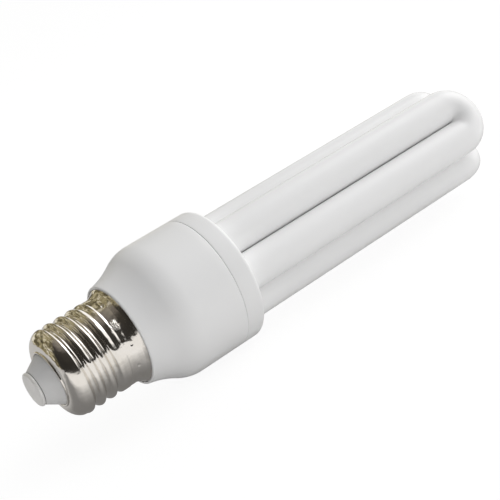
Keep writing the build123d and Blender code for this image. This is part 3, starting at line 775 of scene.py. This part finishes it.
# %% Turn the contact
FLAT_SHARE = 0.45
DISC_EDGE = 0.0006
DISC_LIP = 0.0002
STEM_RADIUS = 0.0016
contact_outline = [
    (contact_face_x, 0),
    (contact_face_x, contact_radius * FLAT_SHARE),
    *arc((contact_face_x + DISC_EDGE, contact_radius - DISC_EDGE), DISC_EDGE, 180, 60, 8),
    (contact_face_x + DISC_HEIGHT, contact_radius - DISC_LIP),
    (contact_face_x + DISC_HEIGHT, STEM_RADIUS),
    (contact_end, STEM_RADIUS),
    (contact_end, 0),
]
contact = lathe("cap_contact", contact_outline, 128, closed=False)
finish_piece(contact, "centre_contact", 35)

# %% [markdown]
# ## The housing and the cover ring
# The housing is moulded plastic. Its shoulder leaves the cap in a hollow arc and turns into a full
# arc that runs out on the cylinder. The seam between housing and ring is a narrow groove, and the
# ring's rim is rounded, so it catches a bright line.

# %% Turn the housing
WALL = 0.0015
SHOULDER_ROUND = 0.012
SHOULDER_END = seam_x - 0.0142
SHOULDER_STEP = 0.00085
SEAM_ROUND = 0.00032
MEET_GAP = 0.0006
EDGE_ROUND = 0.0004
NECK_GAP = 0.00015
LEAVE_SHARE = 0.6
NECK_THICKENING = 1.3
CYLINDER_RINGS = 8
leave_x = shell_end + EDGE_ROUND
leave_radius = flare_radius + SHOULDER_STEP
chord_angle = atan2(housing_radius - leave_radius, SHOULDER_END - leave_x)
leave_angle = LEAVE_SHARE * chord_angle
leave_normal = Vector((-sin(leave_angle), cos(leave_angle)))
full_centre = Vector((SHOULDER_END, housing_radius - SHOULDER_ROUND))
reach = Vector((leave_x, leave_radius)) - full_centre
hollow_round = (reach.dot(reach) - SHOULDER_ROUND**2) / (2 * (SHOULDER_ROUND - reach.dot(leave_normal)))
hollow_centre = Vector((leave_x, leave_radius)) + leave_normal * hollow_round
link = hollow_centre - full_centre
meet_angle = degrees(atan2(link.y, link.x))
inner_radius = housing_radius - WALL
cylinder_run = seam_x - SHOULDER_END - SEAM_ROUND
housing_outline = [
    (housing_front, back_radius - WALL),
    (housing_front, back_radius - NECK_GAP),
    (COLLAR_X, back_radius - NECK_GAP),
    (FLARE_X, COLLAR_RADIUS - SHELL_WALL),
    (shell_end, flare_radius - 2 * SHELL_WALL),
    (shell_end + MEET_GAP, flare_radius - SHELL_WALL),
    (shell_end + MEET_GAP, flare_radius + SHELL_WALL / 2),
    (shell_end, flare_radius + SHELL_WALL / 2),
    *arc((leave_x, leave_radius - EDGE_ROUND), EDGE_ROUND, 180, 90 + degrees(leave_angle), 6),
    *arc(hollow_centre, hollow_round, -90 + degrees(leave_angle), meet_angle - 180, 14)[1:],
    *arc(full_centre, SHOULDER_ROUND, meet_angle, 90, 20)[1:],
    *[
        (SHOULDER_END + cylinder_run * step / CYLINDER_RINGS, housing_radius)
        for step in range(1, CYLINDER_RINGS)
    ],
    *arc((seam_x - SEAM_ROUND, housing_radius - SEAM_ROUND), SEAM_ROUND, 90, 0, 6),
    (seam_x, inner_radius),
    (SHOULDER_END, inner_radius),
    (leave_x + WALL, leave_radius - NECK_THICKENING * WALL),
    (shell_end - EDGE_ROUND, back_radius - WALL),
]
housing = lathe("housing_body", housing_outline, 192, closed=True)
finish_piece(housing, "ballast_housing", 40)

# %% Turn the cover ring
RIM_ROUND = 0.0013
PLATE_THICKNESS = 0.002
SKIRT_STEP = 0.0014
SKIRT_GAP = 0.00005
RING_RINGS = 4
skirt_radius = inner_radius - SKIRT_STEP
ring_start = seam_x + SEAM_ROUND
ring_run = rim_x - RIM_ROUND - seam_x - SEAM_ROUND
ring_outline = [
    (rim_x - PLATE_THICKNESS, 0),
    (rim_x - PLATE_THICKNESS, skirt_radius),
    (holder_front, skirt_radius),
    (holder_front, inner_radius - SKIRT_GAP),
    (seam_x, inner_radius - SKIRT_GAP),
    *arc((seam_x + SEAM_ROUND, housing_radius - SEAM_ROUND), SEAM_ROUND, 180, 90, 6),
    *[(ring_start + ring_run * step / RING_RINGS, housing_radius) for step in range(1, RING_RINGS)],
    *arc((rim_x - RIM_ROUND, housing_radius - RIM_ROUND), RIM_ROUND, 90, 0, 12),
    (rim_x, 0),
]
cover_ring = lathe("cover_ring", ring_outline, 192, closed=False)
print("ring blank", len(cover_ring.data.vertices), "points")

# %% [markdown]
# ## The leg holes
# Six holes in the ring's plate let the tube's legs through. Each is cut with a cylinder by the
# Boolean modifier, which is then applied, and the cutter is deleted. The legs are a little thicker
# than the solid's, because the photograph shows them touching, and the circle they stand on is as
# much smaller, so the tube keeps its reach.

# %% Cut the leg holes
tube_low, tube_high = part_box("discharge_tube")
tube_height = (tube_high.z - tube_low.z) / 2
LEG_COUNT = 6
LEG_SWELL = 0.000178
leg_circle = (tube_reach - tube_height) / (1 - sin(radians(60))) - LEG_SWELL
tube_radius = tube_reach - leg_circle
HOLE_GAP = 0.00007
for number in range(LEG_COUNT):
    angle = 2 * pi * number / LEG_COUNT
    bpy.ops.mesh.primitive_cylinder_add(
        vertices=64,
        radius=tube_radius + HOLE_GAP,
        depth=4 * PLATE_THICKNESS,
        location=(rim_x, leg_circle * cos(angle), axis_height + leg_circle * sin(angle)),
        rotation=(0, pi / 2, 0),
    )
    cutter = bpy.context.object
    select_only(cover_ring)
    cut = cover_ring.modifiers.new("leg_hole", "BOOLEAN")
    cut.object = cutter
    cut.operation = "DIFFERENCE"
    bpy.ops.object.modifier_apply(modifier=cut.name)
    bpy.data.objects.remove(cutter, do_unlink=True)
finish_piece(cover_ring, "tube_holder", 35)
print("leg circle", round(leg_circle, 5), "tube radius", round(tube_radius, 5))

# %% [markdown]
# ## The discharge tube
# Each U starts as a circle at the foot of one leg. The circle is extruded up the leg, spun half a
# turn at the bend, and extruded down the other leg. The three U tubes stand in a triangle, and one
# mesh holds them all with the two short bridges that join them under the plate.

# %% Bend one U
LEG_STEPS = 40
BEND_STEPS = 28
RING_POINTS = 56
bend_x = tube_end - leg_circle / 2 - tube_radius
middle_offset = leg_circle * cos(radians(30))


def bend_u(name):
    """One U tube below the axis, with its legs side by side along Y."""
    foot = Vector((tube_base, -leg_circle / 2, axis_height - middle_offset))
    bpy.ops.mesh.primitive_circle_add(
        vertices=RING_POINTS, radius=tube_radius, location=foot, rotation=(0, pi / 2, 0), fill_type="NGON"
    )
    u_tube = bpy.context.object
    u_tube.name = name
    bpy.ops.object.transform_apply(location=True, rotation=True, scale=True)
    bpy.ops.object.mode_set(mode="EDIT")
    bpy.ops.mesh.select_all(action="SELECT")
    for _ in range(LEG_STEPS):
        leg_move = {"value": ((bend_x - tube_base) / LEG_STEPS, 0, 0)}
        bpy.ops.mesh.extrude_region_move(TRANSFORM_OT_translate=leg_move)
    bpy.ops.mesh.spin(
        steps=BEND_STEPS, angle=pi, center=(bend_x, 0, axis_height - middle_offset), axis=(0, 0, -1)
    )
    for _ in range(LEG_STEPS):
        leg_move = {"value": ((tube_base - bend_x) / LEG_STEPS, 0, 0)}
        bpy.ops.mesh.extrude_region_move(TRANSFORM_OT_translate=leg_move)
    bpy.ops.mesh.select_all(action="SELECT")
    bpy.ops.mesh.remove_doubles(threshold=MERGE_DISTANCE)
    bpy.ops.mesh.normals_make_consistent(inside=False)
    bpy.ops.object.mode_set(mode="OBJECT")
    return u_tube


u_tubes = []
for number in range(3):
    u_tube = bend_u(f"u_tube_{number + 1}")
    select_only(u_tube)
    turn = Matrix.Rotation(2 * pi * number / 3, 4, "X")
    centre = Matrix.Translation((0, 0, axis_height))
    u_tube.data.transform(centre @ turn @ centre.inverted())
    u_tubes.append(u_tube)
    print(u_tube.name, [round(v, 4) for v in u_tube.data.vertices[0].co])

# %% [markdown]
# ## The bridges
# Two short glass bridges close under the plate join the three tubes into one. Each is a circle that is
# extruded from leg to leg and resized on the way, so it is widest where it was fused to the legs.

# %% Add the bridges
BRIDGE_RADIUS = 0.0022
BRIDGE_FLARE = 1.25
BRIDGE_LIFT = 0.004
bridge_x = tube_base + BRIDGE_LIFT
bridge_length = leg_circle - tube_radius
for angle in (radians(90), radians(330)):
    middle = Vector((bridge_x, middle_offset * cos(angle), axis_height + middle_offset * sin(angle)))
    run = Vector((0, -sin(angle), cos(angle)))
    bpy.ops.mesh.primitive_circle_add(
        vertices=32,
        radius=BRIDGE_RADIUS * BRIDGE_FLARE,
        location=middle - run * bridge_length / 2,
        rotation=(angle, 0, 0),
        fill_type="NGON",
    )
    bridge = bpy.context.object
    bpy.ops.object.transform_apply(location=True, rotation=True, scale=True)
    bpy.ops.object.mode_set(mode="EDIT")
    bpy.ops.mesh.select_all(action="SELECT")
    for share, grow in ((0.25, 1 / BRIDGE_FLARE), (0.5, 1), (0.25, BRIDGE_FLARE)):
        bpy.ops.mesh.extrude_region_move(TRANSFORM_OT_translate={"value": run * bridge_length * share})
        bpy.ops.transform.resize(value=(grow, grow, grow))
    bpy.ops.mesh.select_all(action="SELECT")
    bpy.ops.mesh.normals_make_consistent(inside=False)
    bpy.ops.object.mode_set(mode="OBJECT")
    u_tubes.append(bridge)
print("bridges at", round(bridge_x, 4), "length", round(bridge_length, 4))

# %% [markdown]
# The tubes and bridges are one sealed piece of glass, so they become one mesh.

# %% Join the tube
bpy.ops.object.select_all(action="DESELECT")
for tube in u_tubes:
    tube.select_set(True)
bpy.context.view_layer.objects.active = u_tubes[0]
bpy.ops.object.join()
discharge_tube = bpy.context.object
discharge_tube.name = "glass_tube"
finish_piece(discharge_tube, "discharge_tube", 40)

# %% [markdown]
# ## The last step
# The Standard view shows colours as they are written.

# %% Show colours as they are written
bpy.context.scene.view_settings.view_transform = "Standard"
